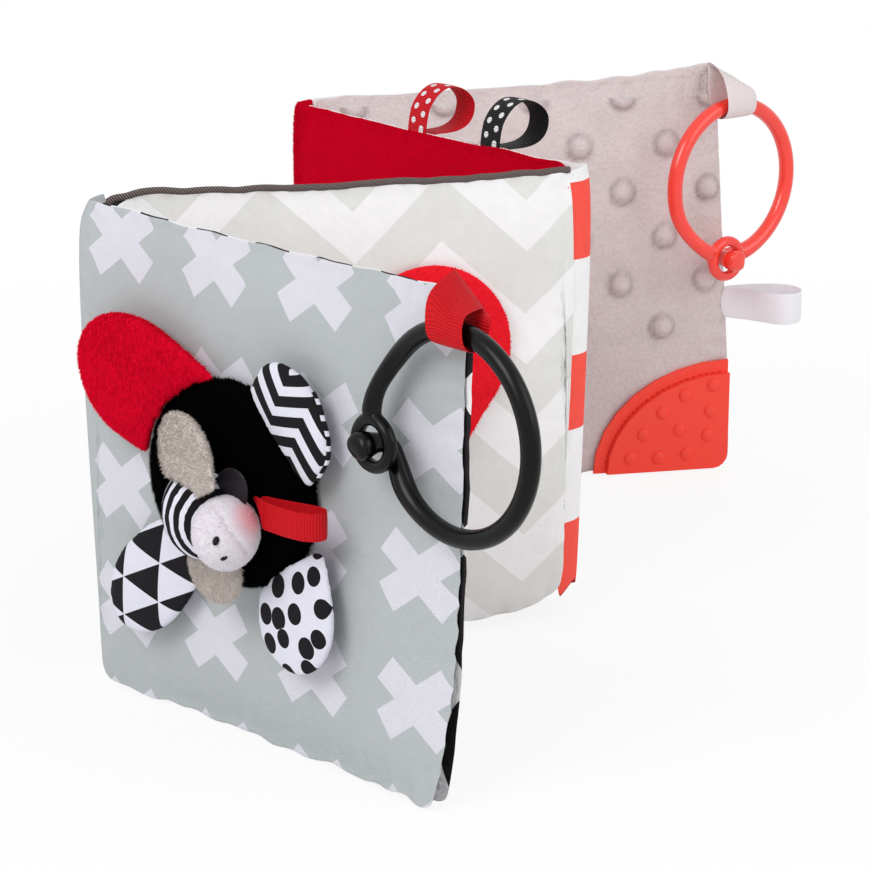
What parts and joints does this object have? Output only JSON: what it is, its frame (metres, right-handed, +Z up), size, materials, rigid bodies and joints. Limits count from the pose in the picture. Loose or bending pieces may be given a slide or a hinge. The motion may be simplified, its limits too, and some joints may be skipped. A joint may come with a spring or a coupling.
{
  "type": "crinkle cloth book",
  "caption": "Soft cloth book for a baby: padded crinkling pages joined by cloth folds, with a stuffed animal, a corner teether, link rings and ribbon loops, standing half open.",
  "frame": {"origin": "middle of the footprint, on the surface that the pages stand on", "axes": "+Z up the pages, -Y towards the page with the stuffed animal and the side that the reader faces, +X towards the folds that face right"},
  "size_m": [0.2612, 0.4084, 0.173],
  "materials": {
    "cross_cloth": "woven cloth with a cross print",
    "white_cloth": "woven cloth, smooth",
    "film": "thin crinkled film",
    "wadding": "soft wadding",
    "charcoal_plush": "short plush",
    "chevron_cloth": "woven cloth with a chevron print",
    "red_plush": "short plush",
    "dotted_cloth": "woven cloth with large dots",
    "grey_plush": "plush with raised dots",
    "white_plush": "short plush",
    "silicone": "matt silicone",
    "red_ribbon": "ribbed ribbon",
    "black_plastic": "semi-gloss",
    "grey_ribbon": "ribbed ribbon",
    "red_plastic": "glossy",
    "black_ribbon": "ribbed ribbon with dots",
    "white_ribbon": "satin ribbon",
    "black_plush": "short plush",
    "striped_cloth": "knitted cloth with stripes",
    "taupe_plush": "short plush",
    "satin": "thin satin"
  },
  "bodies": {
    "page_2": {"page_2_front_cover": "charcoal_plush", "page_2_back_cover": "chevron_cloth", "page_2_crinkle_film": "film", "page_2_wadding": "wadding", "heart_applique": "red_plush"},
    "fold_strip_1": {"fold_strip_1": "cross_cloth"},
    "page_1": {"page_1_front_cover": "cross_cloth", "page_1_back_cover": "white_cloth", "page_1_crinkle_film": "film", "page_1_wadding": "wadding", "critter_body_cover": "black_plush", "critter_body_stuffing": "wadding", "critter_head": "striped_cloth", "critter_muzzle": "white_plush", "critter_satin_flap": "satin"},
    "fold_strip_2": {"fold_strip_2": "dotted_cloth"},
    "page_3": {"page_3_front_cover": "red_plush", "page_3_back_cover": "dotted_cloth", "page_3_crinkle_film": "film", "page_3_wadding": "wadding", "star_applique": "white_plush"},
    "fold_strip_3": {"fold_strip_3": "red_plush"},
    "page_4": {"page_4_front_cover": "white_cloth", "page_4_back_cover": "grey_plush", "page_4_crinkle_film": "film", "page_4_wadding": "wadding", "corner_teether": "silicone"},
    "black_ring_strap": {"black_ring_strap": "red_ribbon"},
    "black_ring": {"black_ring": "black_plastic"},
    "red_ring_strap": {"red_ring_strap": "grey_ribbon"},
    "red_ring": {"red_ring": "red_plastic"},
    "red_ribbon_loop": {"red_ribbon_loop": "red_ribbon"},
    "black_ribbon_loop": {"black_ribbon_loop": "black_ribbon"},
    "white_tag_loop": {"white_tag_loop": "white_ribbon"},
    "critter_red_limb": {"critter_red_limb": "red_plush"},
    "critter_zigzag_limb": {"critter_zigzag_limb": "striped_cloth"},
    "critter_dotted_limb": {"critter_dotted_limb": "white_cloth"},
    "critter_triangle_limb": {"critter_triangle_limb": "white_cloth"},
    "critter_upper_ear": {"critter_upper_ear": "taupe_plush"},
    "critter_lower_ear": {"critter_lower_ear": "taupe_plush"},
    "critter_ribbon": {"critter_ribbon": "red_ribbon"}
  },
  "joints": [
    {"name": "fold_1_strip", "type": "hinge", "parent": "page_2", "child": "fold_strip_1", "pos_m": [-0.12183, -0.0455, 0], "axis": [0, 0, 1], "range_deg": [-59.25, 26.75]},
    {"name": "fold_1_page", "type": "hinge", "parent": "fold_strip_1", "child": "page_1", "pos_m": [-0.12421, -0.05675, 0], "axis": [0, 0, 1], "range_deg": [-59.25, 26.75]},
    {"name": "fold_2_strip", "type": "hinge", "parent": "page_2", "child": "fold_strip_2", "pos_m": [0.03058, 0.00638, 0], "axis": [0, 0, 1], "range_deg": [-55, 33.5]},
    {"name": "fold_2_page", "type": "hinge", "parent": "fold_strip_2", "child": "page_3", "pos_m": [0.03379, 0.01742, 0], "axis": [0, 0, 1], "range_deg": [-55, 33.5]},
    {"name": "fold_3_strip", "type": "hinge", "parent": "page_3", "child": "fold_strip_3", "pos_m": [-0.0671, 0.1429, 0], "axis": [0, 0, -1], "range_deg": [-57.75, 25.25]},
    {"name": "fold_3_page", "type": "hinge", "parent": "fold_strip_3", "child": "page_4", "pos_m": [-0.06336, 0.15377, 0], "axis": [0, 0, -1], "range_deg": [-57.75, 25.25]},
    {"name": "black_strap_lift", "type": "hinge", "parent": "page_1", "child": "black_ring_strap", "pos_m": [-0.00709, -0.16484, 0.15757], "axis": [-0.7349, 0.6782, 0], "range_deg": [0, 34]},
    {"name": "black_ring_swing", "type": "hinge", "parent": "black_ring_strap", "child": "black_ring", "pos_m": [-0.00977, -0.17869, 0.15], "axis": [-0.673, 0.7396, 0], "range_deg": [0, 80]},
    {"name": "red_strap_lift", "type": "hinge", "parent": "page_4", "child": "red_ring_strap", "pos_m": [0.09289, 0.19071, 0.1608], "axis": [-0.9732, -0.23, 0], "range_deg": [0, 30]},
    {"name": "red_ring_swing", "type": "hinge", "parent": "red_ring_strap", "child": "red_ring", "pos_m": [0.10044, 0.18243, 0.15], "axis": [-0.7848, -0.6198, 0], "range_deg": [0, 80]},
    {"name": "red_ribbon_loop_bend", "type": "hinge", "parent": "page_3", "child": "red_ribbon_loop", "pos_m": [-0.02261, 0.08756, 0.15717], "axis": [0.6266, -0.7793, 0], "range_deg": [-8, 30], "stiffness_Nm_per_rad": 0.004},
    {"name": "black_ribbon_loop_bend", "type": "hinge", "parent": "page_3", "child": "black_ribbon_loop", "pos_m": [0.00308, 0.05561, 0.1578], "axis": [0.6266, -0.7793, 0], "range_deg": [-8, 30], "stiffness_Nm_per_rad": 0.004},
    {"name": "white_tag_bend", "type": "hinge", "parent": "page_4", "child": "white_tag_loop", "pos_m": [0.10116, 0.19267, 0.06879], "axis": [0, 0, 1], "range_deg": [-18, 12], "stiffness_Nm_per_rad": 0.004},
    {"name": "critter_red_limb_lift", "type": "hinge", "parent": "page_1", "child": "critter_red_limb", "pos_m": [-0.09521, -0.10718, 0.10144], "axis": [0.563, -0.5195, 0.6428], "range_deg": [0, 40], "stiffness_Nm_per_rad": 0.008},
    {"name": "critter_zigzag_limb_lift", "type": "hinge", "parent": "page_1", "child": "critter_zigzag_limb", "pos_m": [-0.06176, -0.13331, 0.10305], "axis": [0.4423, -0.4081, -0.7986], "range_deg": [0, 40], "stiffness_Nm_per_rad": 0.008},
    {"name": "critter_dotted_limb_lift", "type": "hinge", "parent": "page_1", "child": "critter_dotted_limb", "pos_m": [-0.06118, -0.13069, 0.06193], "axis": [-0.5105, 0.4711, -0.7193], "range_deg": [0, 40], "stiffness_Nm_per_rad": 0.008},
    {"name": "critter_triangle_limb_lift", "type": "hinge", "parent": "page_1", "child": "critter_triangle_limb", "pos_m": [-0.09632, -0.09629, 0.06035], "axis": [-0.5461, 0.504, 0.6691], "range_deg": [0, 40], "stiffness_Nm_per_rad": 0.008},
    {"name": "critter_upper_ear_lift", "type": "hinge", "parent": "page_1", "child": "critter_upper_ear", "pos_m": [-0.08489, -0.13624, 0.08665], "axis": [0.5287, -0.4878, 0.6947], "range_deg": [0, 30], "stiffness_Nm_per_rad": 0.008},
    {"name": "critter_lower_ear_lift", "type": "hinge", "parent": "page_1", "child": "critter_lower_ear", "pos_m": [-0.08375, -0.12199, 0.0673], "axis": [-0.7278, 0.6716, -0.1392], "range_deg": [0, 20], "stiffness_Nm_per_rad": 0.008},
    {"name": "critter_ribbon_bend", "type": "hinge", "parent": "page_1", "child": "critter_ribbon", "pos_m": [-0.06641, -0.13936, 0.0835], "axis": [0, 0, -1], "range_deg": [0, 12], "stiffness_Nm_per_rad": 0.004}
  ],
  "couplings": [
    {"joint": "fold_1_strip", "follows": "fold_1_page", "ratio": 1},
    {"joint": "fold_2_strip", "follows": "fold_2_page", "ratio": 1},
    {"joint": "fold_3_strip", "follows": "fold_3_page", "ratio": 1}
  ]
}
